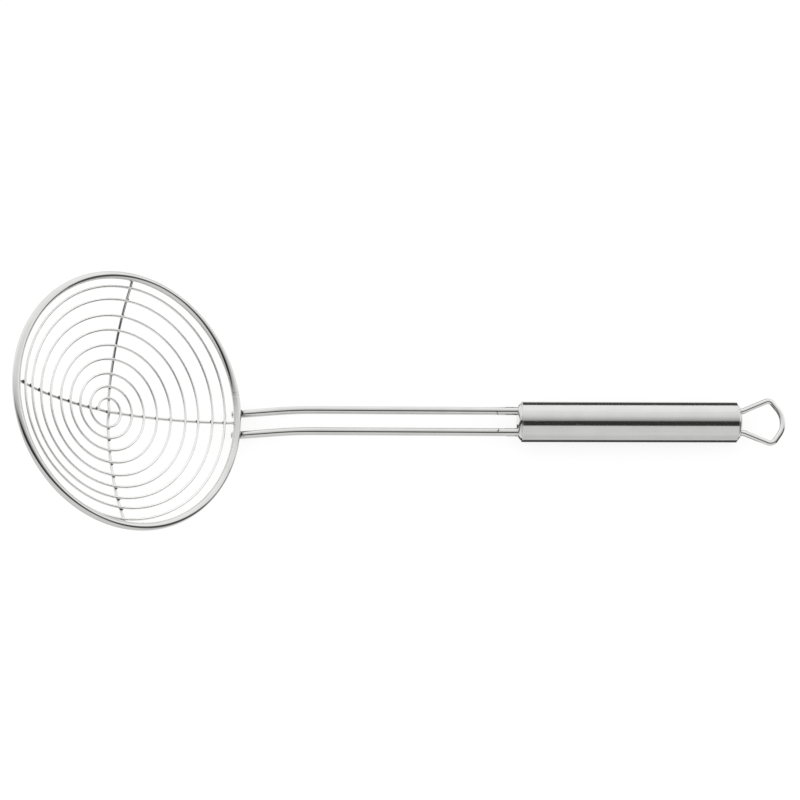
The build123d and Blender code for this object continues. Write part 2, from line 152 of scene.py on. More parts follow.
def wire_grid(path, radius, sides, closed=False, start_end=("flat", "flat"), bevel=0.22,
              wobble=0.0, seed=0):
    """Rings of a round wire along a path, with rounded or flat, slightly broken ends."""
    path = np.asarray(path, float)
    n = len(path)
    if closed:
        tang = np.roll(path, -1, 0) - np.roll(path, 1, 0)
    else:
        tang = np.gradient(path, axis=0)
    tang /= np.linalg.norm(tang, axis=1)[:, None]
    up = np.array([0.0, 0.0, 1.0]) if abs(tang[0][2]) < 0.9 else np.array([0.0, 1.0, 0.0])
    normal = np.zeros_like(path)
    v = up - tang[0] * (up @ tang[0])
    normal[0] = v / np.linalg.norm(v)
    for i in range(1, n):
        v = normal[i - 1] - tang[i] * (normal[i - 1] @ tang[i])
        normal[i] = v / np.linalg.norm(v)
    bi = np.cross(tang, normal)
    if closed:
        # share out the twist that is left after one trip round
        v = normal[-1] - tang[0] * (normal[-1] @ tang[0])
        v /= np.linalg.norm(v)
        twist = math.atan2(v @ np.cross(tang[0], normal[0]), v @ normal[0])
        a = -twist * np.arange(n) / n
        normal, bi = (normal * np.cos(a)[:, None] + bi * np.sin(a)[:, None],
                      bi * np.cos(a)[:, None] - normal * np.sin(a)[:, None])
    seg = np.linalg.norm(np.diff(path, axis=0), axis=1)
    along = np.concatenate([[0], np.cumsum(seg)])
    radii = np.full(n, float(radius))
    if wobble:
        r = np.random.default_rng(seed)
        k = np.arange(0, along[-1] + 14, 7.0)
        radii = radii - wobble * np.interp(along, k, r.random(len(k)))
    rings = [(path[i], tang[i], normal[i], bi[i], radii[i], along[i]) for i in range(n)]
    if not closed:
        for end, kind in ((0, start_end[0]), (-1, start_end[1])):
            if kind == "none":
                continue
            p, t, nn, bb, r, s = rings[end]
            out = -t if end == 0 else t
            rr = bevel if kind == "flat" else min(r * 0.98, 1.0) if kind == "blunt" else r * 0.98
            extra = []
            for j in range(1, 6):
                a = math.radians(18 * j)
                extra.append((p - out * rr + out * rr * math.sin(a), t, nn, bb,
                              r - rr + rr * math.cos(a), s + (rr * math.sin(a) - rr) * (1 if end else -1)))
            base = (p - out * rr, t, nn, bb, r, s - (rr if end else -rr))
            if end == 0:
                keep = [g for g in rings if g[5] > s + rr + 0.05]
                rings = extra[::-1] + [base] + keep
            else:
                keep = [g for g in rings if g[5] < s - rr - 0.05]
                rings = keep + [base] + extra
    return rings


def wire(name, path, radius, sides=20, closed=False, start_end=("flat", "flat"), bevel=0.22,
         wobble=0.0, seed=0, heat_from=None, heat_reach=3.0, squash=None):
    rings = wire_grid(path, radius, sides, closed, start_end, bevel, wobble, seed)
    n = len(rings)
    ang = 2 * math.pi * np.arange(sides) / sides
    verts = np.concatenate([p + r * (np.cos(ang)[:, None] * nn + np.sin(ang)[:, None] * bb)
                            for p, t, nn, bb, r, s in rings])
    if squash:
        verts = squash(verts)
    s = [g[5] for g in rings]
    total = s[-1] + (np.linalg.norm(rings[0][0] - rings[-1][0]) if closed else 0)
    around = 2 * math.pi * radius / sides
    faces, uv = [], []
    last = n if closed else n - 1
    for i in range(last):
        j = (i + 1) % n
        s0, s1 = s[i], s[j] if j else total
        for k in range(sides):
            m = (k + 1) % sides
            faces.append((i * sides + k, i * sides + m, j * sides + m, j * sides + k))
            uv += [(k * around, s0), ((k + 1) * around, s0), ((k + 1) * around, s1), (k * around, s1)]
    if not closed:
        for i, order in ((0, -1), (n - 1, 1)):
            ring = [i * sides + k for k in range(sides)][::order]
            faces.append(tuple(ring))
            c = [(math.cos(ang[k]) * radius * 0.3, s[i] + math.sin(ang[k]) * radius * 0.3)
                 for k in range(sides)][::order]
            uv += c
    heat = heat_near(verts, heat_from, heat_reach) if heat_from is not None else None
    return finish_mesh(name, verts, faces, uv, heat, sharp=50)


def heat_near(verts, spots, reach):
    """1 at a weld, fading to 0 away from it."""
    out = np.zeros(len(verts))
    for p in spots:
        d = np.linalg.norm(verts - p, axis=1)
        out = np.maximum(out, np.exp(-(d / reach) ** 2))
    return out


def lathe(name, profile, around=96, axis_y=0.0, sharp=30, heat=0.0):
    """A closed (x, radius) profile turned about the handle's axis."""
    prof = np.asarray(profile, float)
    n = len(prof)
    ang = 2 * math.pi * np.arange(around) / around
    verts = np.array([[x + X0, axis_y + r * math.cos(a), Z0 + r * math.sin(a)]
                      for x, r in prof for a in ang])
    run = np.concatenate([[0], np.cumsum(np.linalg.norm(np.diff(
        np.vstack([prof, prof[:1]]), axis=0), axis=1))])
    faces, uv = [], []
    for i in range(n):
        j = (i + 1) % n
        r = max(prof[i][1], prof[j][1])
        for k in range(around):
            m = (k + 1) % around
            faces.append((i * around + k, j * around + k, j * around + m, i * around + m))
            u0, u1 = ang[k] * r, (ang[k] + 2 * math.pi / around) * r
            uv += [(u0, run[i]), (u0, run[i + 1]), (u1, run[i + 1]), (u1, run[i])]
    ob = finish_mesh(name, verts, faces, uv, np.full(len(verts), heat), sharp)
    return ob


def blob(centre, axes, seed, rough=0.12, rings=12, around=18):
    """A lumpy rounded bead: vertices and faces, before it is joined to its fellows."""
    r = np.random.default_rng(seed)
    f = r.normal(size=(5, 3)) * 1.6
    ph = r.random(5) * 6.28
    th = np.linspace(0, math.pi, rings + 1)[1:-1]
    ph2 = 2 * math.pi * np.arange(around) / around
    unit = [(0, 0, 1.0)] + [(math.sin(t) * math.cos(p), math.sin(t) * math.sin(p), math.cos(t))
                            for t in th for p in ph2] + [(0, 0, -1.0)]
    unit = np.array(unit)
    lump = 1 - rough + rough * np.mean(np.sin(unit @ f.T * 1.7 + ph), axis=1) * 1.8
    verts = centre + (unit * lump[:, None]) @ np.asarray(axes)
    faces = []
    for k in range(around):
        m = (k + 1) % around
        faces.append((0, 1 + k, 1 + m))
        for i in range(len(th) - 1):
            a = 1 + i * around
            faces.append((a + k, a + around + k, a + around + m, a + m))
        a = 1 + (len(th) - 1) * around
        faces.append((a + k, len(unit) - 1, a + m))
    return verts, faces


def blobs(name, items, rough=0.12):
    verts, faces, uv = [], [], []
    count = 0
    for seed, (centre, axes) in enumerate(items):
        v, f = blob(np.asarray(centre, float), axes, 100 + seed, rough)
        verts.append(v)
        for q in f:
            faces.append(tuple(i + count for i in q))
            uv += [tuple(v[i][:2]) for i in q]
        count += len(v)
    return finish_mesh(name, np.concatenate(verts), faces, uv, np.ones(count))


def rounded(points, radii, run=2.5, turn=3.0):
    """Straight runs joined by tangent arcs, finely divided."""
    p = [np.asarray(q, float) for q in points]
    out = [p[0]]
    for i in range(1, len(p) - 1):
        a, b = p[i] - p[i - 1], p[i + 1] - p[i]
        a, b = a / np.linalg.norm(a), b / np.linalg.norm(b)
        th = math.acos(float(np.clip(a @ b, -1, 1)))
        t = radii[i - 1] * math.tan(th / 2)
        start = p[i] - a * t
        gap = np.linalg.norm(start - out[-1])
        for k in range(1, max(1, int(gap / run)) + 1):
            out.append(out[-1] + (start - out[-1]) * (1.0 / (max(1, int(gap / run)) + 1 - k)))
        side = b - a * (a @ b)
        side /= np.linalg.norm(side)
        centre = start + side * radii[i - 1]
        steps = max(4, int(math.degrees(th) / turn))
        for k in range(1, steps + 1):
            w = th * k / steps
            out.append(centre + radii[i - 1] * (a * math.sin(w) - side * math.cos(w)))
    gap = np.linalg.norm(p[-1] - out[-1])
    last, m = out[-1], max(1, int(gap / run))
    for k in range(1, m + 1):
        out.append(last + (p[-1] - last) * k / m)
    return np.array(out)


def smooth_line(points, per=8):
    """A smooth curve through the points."""
    p = np.asarray(points, float)
    s = np.concatenate([[0], np.cumsum(np.linalg.norm(np.diff(p, axis=0), axis=1))])
    t = np.linspace(0, s[-1], (len(p) - 1) * per + 1)
    return np.stack([natural(s, p[:, i])(t) for i in range(3)], axis=1)


# ---------------------------------------------------------------------------
# materials
# ---------------------------------------------------------------------------
class Nodes:
    def __init__(self, name):
        self.mat = bpy.data.materials.new(name)
        self.mat.use_nodes = True
        self.t = self.mat.node_tree
        self.t.nodes.clear()
        self.out = self.t.nodes.new("ShaderNodeOutputMaterial")
        self.bsdf = self.t.nodes.new("ShaderNodeBsdfPrincipled")
        self.t.links.new(self.bsdf.outputs[0], self.out.inputs[0])

    def add(self, kind, inputs=None, **props):
        n = self.t.nodes.new(kind)
        for k, v in props.items():
            setattr(n, k, v)
        for k, v in (inputs or {}).items():
            if isinstance(v, bpy.types.NodeSocket):
                self.t.links.new(v, n.inputs[k])
            else:
                n.inputs[k].default_value = v
        return n

    def math(self, op, a, b=0.0, c=0.0):
        n = self.add("ShaderNodeMath", operation=op)
        for i, v in enumerate((a, b, c)):
            if isinstance(v, bpy.types.NodeSocket):
                self.t.links.new(v, n.inputs[i])
            else:
                n.inputs[i].default_value = v
        return n.outputs[0]

    def ramp(self, fac, stops, interpolation="LINEAR"):
        n = self.add("ShaderNodeValToRGB", {"Fac": fac})
        n.color_ramp.interpolation = interpolation
        e = n.color_ramp.elements
        e[0].position, e[0].color = stops[0][0], (*stops[0][1], 1)
        e[1].position, e[1].color = stops[-1][0], (*stops[-1][1], 1)
        for pos, col in stops[1:-1]:
            k = e.new(pos)
            k.color = (*col, 1)
        return n.outputs["Color"]

    def mix(self, fac, a, b):
        n = self.add("ShaderNodeMix", data_type="RGBA")
        for i, v in ((0, fac), (6, a), (7, b)):
            if isinstance(v, bpy.types.NodeSocket):
                self.t.links.new(v, n.inputs[i])
            else:
                n.inputs[i].default_value = v if i == 0 else (*v, 1)
        return n.outputs[2]

    def put(self, name, value):
        if isinstance(value, bpy.types.NodeSocket):
            self.t.links.new(value, self.bsdf.inputs[name])
        else:
            self.bsdf.inputs[name].default_value = value


def steel(name, light, dark, rough, grain_across, grain_along, streak, haze, heat_reach=1.0,
          use_uv=True, bump=0.10):
    """Polished stainless: drawing lines along the wire, a cloudy polish, fine random
    scratches, and the tint that welding leaves."""
    m = Nodes(name)
    if use_uv:
        run = m.add("ShaderNodeUVMap", uv_map="run").outputs[0]
    else:
        tc = m.add("ShaderNodeTexCoord").outputs["Object"]
        run = m.add("ShaderNodeMapping", {"Vector": tc, "Scale": (1000, 1000, 1000)}).outputs[0]
    obj = m.add("ShaderNodeTexCoord").outputs["Object"]
    stretched = m.add("ShaderNodeMapping", {"Vector": run, "Scale": (grain_across, grain_along, 1)
                                            if use_uv else (grain_along, grain_across, grain_across)}).outputs[0]
    lines = m.add("ShaderNodeTexNoise", {"Vector": stretched, "Scale": 1.0, "Detail": 5.0,
                                         "Roughness": 0.62}).outputs["Fac"]
    fine = m.add("ShaderNodeMapping", {"Vector": run, "Scale": (grain_across * 3.1, grain_along * 2.3, 1)
                                       if use_uv else (grain_along * 2.3, grain_across * 3.1, grain_across * 3.1),
                                       "Rotation": (0, 0, 0.03)}).outputs[0]
    hair = m.add("ShaderNodeTexNoise", {"Vector": fine, "Scale": 1.0, "Detail": 3.0,
                                        "Roughness": 0.7}).outputs["Fac"]
    cloud = m.add("ShaderNodeTexNoise", {"Vector": obj, "Scale": 95.0, "Detail": 4.0,
                                         "Roughness": 0.55}).outputs["Fac"]
    wide = m.add("ShaderNodeTexNoise", {"Vector": obj, "Scale": 22.0, "Detail": 2.0,
                                        "Roughness": 0.5}).outputs["Fac"]
    # fine scratches from use, crossing the drawing lines
    cross = m.add("ShaderNodeMapping", {"Vector": obj, "Scale": (260, 2600, 1400),
                                        "Rotation": (0.3, 0.9, 0.7)}).outputs[0]
    scratch = m.add("ShaderNodeTexNoise", {"Vector": cross, "Scale": 1.0, "Detail": 2.0,
                                           "Roughness": 0.5}).outputs["Fac"]
    scratch = m.add("ShaderNodeMapRange", {"Value": scratch, "From Min": 0.64, "From Max": 0.72,
                                           "To Min": 0.0, "To Max": 1.0}).outputs[0]

    tone = m.math("MULTIPLY_ADD", lines, 0.55, m.math("MULTIPLY", cloud, 0.45))
    tone = m.add("ShaderNodeMapRange", {"Value": tone, "From Min": 0.32, "From Max": 0.66,
                                        "To Min": 0.0, "To Max": 1.0}).outputs[0]
    base = m.mix(tone, dark, light)
    heat = m.add("ShaderNodeAttribute", attribute_name="heat").outputs["Fac"]
    uneven = m.math("MULTIPLY_ADD", cloud, 0.9, -0.45)
    tint_at = m.math("MULTIPLY", m.math("ADD", heat, m.math("MULTIPLY", uneven, heat)), heat_reach)
    tint = m.ramp(tint_at, [(0.0, (1.0, 1.0, 1.0)), (0.25, (0.97, 0.96, 0.93)),
                            (0.48, (0.74, 0.71, 0.66)), (0.66, (0.32, 0.31, 0.30)),
                            (0.80, (0.12, 0.12, 0.125)), (1.0, (0.03, 0.03, 0.032))])
    both = m.add("ShaderNodeMix", data_type="RGBA", blend_type="MULTIPLY")
    both.inputs[0].default_value = 1.0
    m.t.links.new(base, both.inputs[6])
    m.t.links.new(tint, both.inputs[7])
    m.put("Base Color", both.outputs[2])
    m.put("Specular Tint", tint)
    m.put("Metallic", 1.0)

    r = m.math("MULTIPLY_ADD", m.math("SUBTRACT", lines, 0.5), streak, rough)
    r = m.math("MULTIPLY_ADD", m.math("SUBTRACT", wide, 0.5), haze, r)
    r = m.math("MULTIPLY_ADD", scratch, 0.10, r)
    r = m.math("MULTIPLY_ADD", heat, 0.12, r)
    r = m.math("MAXIMUM", r, 0.05)
    m.put("Roughness", r)

    height = m.math("MULTIPLY_ADD", hair, 0.6, m.math("MULTIPLY", lines, 1.0))
    height = m.math("MULTIPLY_ADD", scratch, -0.25, height)
    b = m.add("ShaderNodeBump", {"Strength": bump, "Distance": 0.00006, "Height": height})
    m.put("Normal", b.outputs[0])
    return m.mat


def weld_metal(name):
    """Fused metal: darkened, with ripples, pits and patches of heat colour."""
    m = Nodes(name)
    obj = m.add("ShaderNodeTexCoord").outputs["Object"]
    grain = m.add("ShaderNodeTexNoise", {"Vector": obj, "Scale": 900.0, "Detail": 4.0,
                                         "Roughness": 0.6}).outputs["Fac"]
    patch = m.add("ShaderNodeTexNoise", {"Vector": obj, "Scale": 320.0, "Detail": 2.0,
                                         "Roughness": 0.5}).outputs["Fac"]
    pits = m.add("ShaderNodeTexVoronoi", {"Vector": obj, "Scale": 1500.0}).outputs["Distance"]
    col = m.ramp(patch, [(0.30, (0.035, 0.034, 0.033)), (0.46, (0.075, 0.072, 0.070)),
                         (0.56, (0.16, 0.152, 0.145)), (0.66, (0.070, 0.070, 0.076)),
                         (0.78, (0.22, 0.215, 0.21))])
    m.put("Base Color", col)
    m.put("Specular Tint", (0.45, 0.44, 0.43, 1))
    m.put("Metallic", 1.0)
    m.put("Roughness", m.math("MULTIPLY_ADD", grain, 0.35, 0.18))
    h = m.math("MULTIPLY_ADD", pits, 0.6, grain)
    m.put("Normal", m.add("ShaderNodeBump", {"Strength": 0.35, "Distance": 0.00012,
                                             "Height": h}).outputs[0])
    return m.mat


rim_steel = steel("rim_steel", (0.67, 0.67, 0.66), (0.59, 0.59, 0.58), 0.065, 2.4, 0.05, 0.05, 0.025,
                  bump=0.035)
rod_steel = steel("rod_steel", (0.68, 0.68, 0.67), (0.59, 0.59, 0.58), 0.085, 2.2, 0.04, 0.06, 0.03,
                  bump=0.05)
coil_steel = steel("coil_steel", (0.88, 0.88, 0.87), (0.75, 0.75, 0.74), 0.25, 4.5, 0.10, 0.12, 0.05)
support_steel = steel("support_steel", (0.78, 0.78, 0.77), (0.62, 0.62, 0.61), 0.16, 4.0, 0.09, 0.12, 0.05)
loop_steel = steel("loop_steel", (0.75, 0.75, 0.74), (0.66, 0.66, 0.65), 0.11, 2.8, 0.06, 0.08, 0.04,
                   bump=0.06)
tube_steel = steel("tube_steel", (0.655, 0.66, 0.645), (0.575, 0.58, 0.565), 0.10, 1.5, 0.018, 0.06, 0.05,
                   bump=0.07)
cap_steel = steel("cap_steel", (0.65, 0.65, 0.64), (0.56, 0.56, 0.55), 0.14, 1.2, 1.2, 0.06, 0.06,
                  use_uv=False, bump=0.06)
weld_steel = weld_metal("weld_steel")
# the rim's closing weld was ground flush and polished with the wire
flush_weld = steel("flush_weld", (0.65, 0.65, 0.64), (0.56, 0.56, 0.55), 0.09, 2.4, 0.20, 0.06, 0.03,
                   bump=0.045)


def dress(ob, material, slot, *nodes):
    ob.data.materials.clear()
    ob.data.materials.append(material)
    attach(ob, "root")
    if nodes:
        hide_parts(*nodes)
    return ob


# ---------------------------------------------------------------------------
# bowl
# ---------------------------------------------------------------------------
butt = math.radians(13.0)
butt_point = world(rim_r * math.cos(butt), rim_r * math.sin(butt), 0)
under_u = math.sqrt(rim_r ** 2 - rod_y ** 2)
pass_x, pass_z = rim_x + under_u * math.cos(tilt), rim_h - under_u * math.sin(tilt)
reach, fall = rim_w + rod_r + 0.03, math.radians(17.0)
for _ in range(20):
    px, pz = pass_x + math.sin(fall) * reach, pass_z - math.cos(fall) * reach
    fall = math.atan2(bend_rise - pz, bend_x - px)
rod_dir = np.array([math.cos(fall), 0, math.sin(fall)])
joint_z = pz + math.cos(fall) * (rod_r + 0.015)
joint_x = px - math.sin(fall) * (rod_r + 0.015)
neck_joints = [np.array([joint_x + X0, y, joint_z + Z0]) for y in (rod_y, -rod_y)]

# coil
turns = np.linspace(-0.6 / 16, coil_end_turn, 900)
coil_path = coil_at(np.maximum(turns, 0.0))
first = coil_at(0.0)
coil_path[0] = first + (coil_at(0.0) - coil_at(0.004)) * (0.6 / 16 / 0.004)
keep = np.concatenate([[True], turns[1:] > 0.002])
coil_path = coil_path[keep]

# support wires
support_drop = coil_r + support_r + weld_gap


def support_path(sign, cross):
    middle = long_offset + long_skew * hub_shift if cross else hub_shift

    def sideways(s):
        if cross:
            return hub_shift + cross_skew * s / 62.0 + cross_bow * (s / 62.0) ** 2
        return long_offset + long_skew * s

    stations = [-59.3, -54.0, -48.0, -41.5, -35.0, -28.5, -22.0, -16.0, -10.5,
                middle - 5.6, middle - 2.6, middle, middle + 2.6, middle + 5.6,
                10.5, 16.0, 22.0, 28.5, 35.0, 41.5, 48.0, 54.0, 59.3]
    out = []
    for s in stations:
        a = float(slope(abs(s)))
        side = math.copysign(1, s) if s else 0
        along = s + side * support_drop * math.sin(a)
        w = -float(depth(abs(s))) - support_drop * math.cos(a) - 0.03
        w += sign * hub_lift * math.exp(-((s - middle) / 2.9) ** 2)
        out.append((sideways(s), along, w) if cross else (along, sideways(s), w))
    end, low = (rim_r + 0.45, -2.2) if cross else (rim_r - 0.35, -1.35)
    a, b = [(sideways(s), s, low) if cross else (s, sideways(s), low) for s in (-end, end)]
    return smooth_line([world(*p) for p in [a] + out + [b]])


long_path, cross_path = support_path(-1, False), support_path(1, True)

# where the coil lies on a support wire
crossings = []
for first_turn, line in ((0.0, long_path), (0.25, cross_path), (0.5, long_path), (0.75, cross_path)):
    t = first_turn
    while t < 8.7:
        near = coil_at(np.linspace(max(0.0, t - 0.12), t + 0.12, 121))
        d = np.linalg.norm(near[:, None] - line[None], axis=2)
        i, j = np.unravel_index(np.argmin(d), d.shape)
        a = near[min(i + 1, 120)] - near[max(i - 1, 0)]
        b = line[min(j + 1, len(line) - 1)] - line[max(j - 1, 0)]
        crossings.append((near[i], line[j], a / np.linalg.norm(a), b / np.linalg.norm(b), coil_r, support_r))
        t += 1.0
d = np.linalg.norm(cross_path[:, None] - long_path[None], axis=2)
i, j = np.unravel_index(np.argmin(d), d.shape)
a, b = cross_path[i + 1] - cross_path[i - 1], long_path[j + 1] - long_path[j - 1]
crossings.append((cross_path[i], long_path[j], a / np.linalg.norm(a), b / np.linalg.norm(b),
                  support_r, support_r))
spots = np.array([p + (q - p) * (r / (r + s)) for p, q, _, _, r, s in crossings])

items = []
for p, q, a, b, r, s in crossings:
    n = (q - p) / np.linalg.norm(q - p)
    e = a + b
    e -= n * (e @ n)
    e /= np.linalg.norm(e)
    f = np.cross(n, e)
    k = 0.90 + 0.24 * rng.random()
    items.append((p + (q - p) * (r / (r + s)), (e * 1.18 * k, f * 1.05 * k, n * 0.76)))
nuggets = blobs("crossing_nuggets", items, 0.16)
dress(nuggets, weld_steel, "weld_steel", "crossing_welds")

coil = wire("wound_coil", coil_path, coil_r, 16, wobble=0.02, seed=3,
            heat_from=spots, heat_reach=1.35)
dress(coil, coil_steel, "wire_steel", "spiral_wire")
# the long wire's far half is tinted darker, and so is one end of the cross wire where it meets the rim
far_half = [p for p in long_path[4:] if (p - rim_o) @ rim_u < -17.0]
cross_end = cross_path[0] + (cross_path[6] - cross_path[0]) * (
    3.9 / np.linalg.norm(cross_path[6] - cross_path[0]))
long_wire = wire("long_support", long_path, support_r, 18, wobble=0.02, seed=4,
                 heat_from=list(spots) + far_half, heat_reach=1.4)
dress(long_wire, support_steel, "wire_steel", "long_support_wire")
cross_wire = wire("cross_support", cross_path, support_r, 18, wobble=0.02, seed=5,
                  heat_from=list(spots) + [cross_end + rim_n * 0.5], heat_reach=1.4)
dress(cross_wire, support_steel, "wire_steel", "cross_support_wire")

# rim: one bent wire and the weld that closes it
half = math.radians(0.5)
a = np.linspace(butt + half, butt + 2 * math.pi - half, 360)
rim_path = world(rim_r * np.cos(a), rim_r * np.sin(a), 0)
end_spots = [world(rim_r - 1.6, 0, -2.1), world(-rim_r + 1.6, 0, -2.1),
             world(0, rim_r - 0.8, -2.6), world(0, -rim_r + 0.8, -2.6)]
spot_at = math.radians(13.6)
butt_inside = world((rim_r - 1.92) * math.cos(spot_at), (rim_r - 1.92) * math.sin(spot_at), 0.55)
rim = wire("rim_wire", rim_path, rim_w - 0.003, 32, wobble=0.012, seed=6,
           heat_from=[butt_inside] + neck_joints + end_spots, heat_reach=1.6)
dress(rim, rim_steel, "wire_steel", "rim_ring")

a = np.linspace(butt - half * 1.5, butt + half * 1.5, 13)
bead = world(rim_r * np.cos(a), rim_r * np.sin(a), 0)
closing = wire("rim_closing_weld", bead, rim_w + 0.004, 32, bevel=0.03,
               start_end=("flat", "flat"), heat_from=[butt_inside], heat_reach=1.35)
dress(closing, flush_weld, "weld_steel", "rim_butt_weld")

items = []
for path, reaches in ((long_path, (1.2, 0.5)), (cross_path, (1.2, 1.2))):
    for e0, e1, at_d in ((path[0], path[4], reaches[0]), (path[-1], path[-5], reaches[1])):
        d = (e1 - e0) / np.linalg.norm(e1 - e0)
        o = e0 + d * at_d
        local = np.array([(o - rim_o) @ rim_u, (o - rim_o) @ rim_v])
        tan = -local[1] * rim_u + local[0] * rim_v
        tan /= np.linalg.norm(tan)
        third = np.cross(d, tan)
        k = 0.85 if at_d < 1.0 else 1.0
        items.append((o, (d * 1.25 * k, tan * 1.30 * k, third * 1.05 * k)))
dress(blobs("rim_joint_beads", items, 0.14), weld_steel, "weld_steel", "rim_joint_welds")

# ---------------------------------------------------------------------------
# neck
# ---------------------------------------------------------------------------
tip = (px - math.cos(fall) * overhang, pz - math.sin(fall) * overhang)
for name, node, y, seed in (("neck_rod_plus_y", "neck_rod_right", rod_y, 11),
                            ("neck_rod_minus_y", "neck_rod_left", -rod_y, 12)):
    pts = [(tip[0] + X0, y, tip[1] + Z0), (bend_x + X0, y, bend_rise + Z0),
           (rod_rise + X0, y, Z0), (rod_inner_end + X0, y, Z0)]
    path = rounded(pts, [bend_radius, 60.0], 2.0, 1.0)
    # the sheared tips are tinted dark
    end = np.array([tip[0] + X0, y, tip[1] + Z0])
    ob = wire(name, path, rod_r - 0.002, 36, start_end=("blunt", "flat"), bevel=0.3, wobble=0.01,
              seed=seed, heat_from=neck_joints + [end], heat_reach=3.0)
    dress(ob, rod_steel, "wire_steel", node)

items = []
for c in neck_joints:
    along = rod_dir
    across = np.array([0.0, 1.0, 0.0])
    up = np.cross(along, across)
    items.append((c, (along * 2.7, across * 2.55, up * 1.75)))
dress(blobs("neck_beads", items, 0.13), weld_steel, "weld_steel", "neck_welds")

# ---------------------------------------------------------------------------
# handle
# ---------------------------------------------------------------------------
bore = tube_r - tube_wall
profile = []
for k in range(9):
    a = math.radians(90 * k / 8)
    profile.append((-tube_half + tube_edge * (1 - math.sin(a)), tube_r - tube_edge * (1 - math.cos(a))))
profile = profile[::-1]
outer = [(-tube_half, tube_r - tube_edge)]
for k in range(1, 9):
    a = math.radians(90 * k / 8)
    outer.append((-tube_half + tube_edge * (1 - math.cos(a)), tube_r - tube_edge * (1 - math.sin(a))))
for x in np.linspace(-50, 50, 21):
    outer.append((x, tube_r))
for k in range(8, -1, -1):
    a = math.radians(90 * k / 8)
    outer.append((tube_half - tube_edge * (1 - math.cos(a)), tube_r - tube_edge * (1 - math.sin(a))))
inner = [(tube_half, bore + 0.08), (tube_half - 0.08, bore), (-tube_half + 0.08, bore), (-tube_half, bore + 0.08)]
tube = lathe("grip_tube", outer + inner, 144)
dress(tube, tube_steel, "tube_steel", "handle_tube")

# hanging loop
corner, nose = (72.24, 11.75), loop_nose
pts = [(loop_inner_end, loop_leg_y), (57.84, loop_leg_y), corner, (nose, 0),
       (corner[0], -corner[1]), (57.84, -loop_leg_y), (loop_inner_end, -loop_leg_y)]
pts = [(x + X0, y, Z0) for x, y in pts]
path = rounded(pts, [6.0, 3.2, 11.5, 3.2, 6.0], 1.0, 3.0)
loop = wire("end_loop", path, loop_r - 0.002, 28, bevel=0.3, wobble=0.01, seed=15)
dress(loop, loop_steel, "wire_steel", "hanging_loop")

# nodes whose own meshes stay
for node, material in (("front_end_cap", cap_steel), ("rear_end_cap", cap_steel),
                       ("front_cap_welds", weld_steel), ("rear_cap_welds", weld_steel)):
    ob = frame["nodes"][node]
    if ob.material_slots:
        for s in ob.material_slots:
            s.link = "OBJECT"
            s.material = material
    else:
        ob.data.materials.append(material)

# ---------------------------------------------------------------------------
# floor
# ---------------------------------------------------------------------------
size = 4.0
me = bpy.data.meshes.new("table_top")
me.from_pydata([(-size, -size, 0), (size, -size, 0), (size, size, 0), (-size, size, 0)], [], [(0, 1, 2, 3)])
floor = bpy.data.objects.new("table_top", me)
scene.collection.objects.link(floor)
floor.visible_glossy = False
m = Nodes("table_paint")
m.t.nodes.remove(m.bsdf)
diffuse = m.add("ShaderNodeBsdfDiffuse", {"Color": (0.26, 0.26, 0.26, 1)})
glow = m.add("ShaderNodeEmission", {"Color": (1, 1, 1, 1), "Strength": 0.785})
both = m.add("ShaderNodeAddShader")
m.t.links.new(diffuse.outputs[0], both.inputs[0])
m.t.links.new(glow.outputs[0], both.inputs[1])
clear = m.add("ShaderNodeBsdfTransparent")
side = m.add("ShaderNodeNewGeometry")
pick = m.add("ShaderNodeMixShader")
m.t.links.new(side.outputs["Backfacing"], pick.inputs[0])
m.t.links.new(both.outputs[0], pick.inputs[1])
m.t.links.new(clear.outputs[0], pick.inputs[2])
m.t.links.new(pick.outputs[0], m.out.inputs[0])
me.materials.append(m.mat)

# ---------------------------------------------------------------------------
# studio light: a white tent over a white table. The tent has a long dark gap
# overhead, along the handle, and is open at the handle's far end
# ---------------------------------------------------------------------------
w = bpy.data.worlds.new("studio")
scene.world = w
w.use_nodes = True
t = w.node_tree
t.nodes.clear()


def node(kind, **props):
    n = t.nodes.new(kind)
    for k, v in props.items():
        setattr(n, k, v)
    return n


def wire_in(n, slot, v):
    if isinstance(v, bpy.types.NodeSocket):
        t.links.new(v, n.inputs[slot])
    else:
        n.inputs[slot].default_value = v


def calc(op, a, b=0.0):
    n = node("ShaderNodeMath", operation=op)
    wire_in(n, 0, a)
    wire_in(n, 1, b)
    return n.outputs[0]


def remap(v, lo, hi, a, b, kind="LINEAR"):
    n = node("ShaderNodeMapRange", interpolation_type=kind)
    for k, x in (("Value", v), ("From Min", lo), ("From Max", hi), ("To Min", a), ("To Max", b)):
        wire_in(n, k, x)
    return n.outputs[0]


way = node("ShaderNodeTexCoord").outputs["Generated"]
split = node("ShaderNodeSeparateXYZ")
t.links.new(way, split.inputs[0])
x, y, z = split.outputs
# degrees round the handle's line, 0 overhead and 90 at the front, and degrees
# toward the handle's far end
roll = calc("MULTIPLY", calc("ARCTAN2", calc("MULTIPLY", y, -1.0), z), 180 / math.pi)
lean = calc("MULTIPLY", calc("ARCSINE", calc("MINIMUM", calc("MAXIMUM", x, -0.9999), 0.9999)), 180 / math.pi)
TENT_MAX = 1.4
tent_light = [(-180, 1.18), (-120, 1.14), (-80, 1.27), (-55, 1.22), (-16, 0.97), (0, 0.68),
              (10, 0.45), (34, 0.60), (41, 0.88), (90, 0.93), (112, 0.80), (135, 0.84),
              (160, 1.10), (180, 1.18)]
tent_ramp = node("ShaderNodeValToRGB")
t.links.new(remap(roll, -180, 180, 0, 1), tent_ramp.inputs[0])
e = tent_ramp.color_ramp.elements
at = [((deg + 180) / 360, v / TENT_MAX) for deg, v in tent_light]
e[0].position, e[0].color = at[0][0], (at[0][1],) * 3 + (1,)
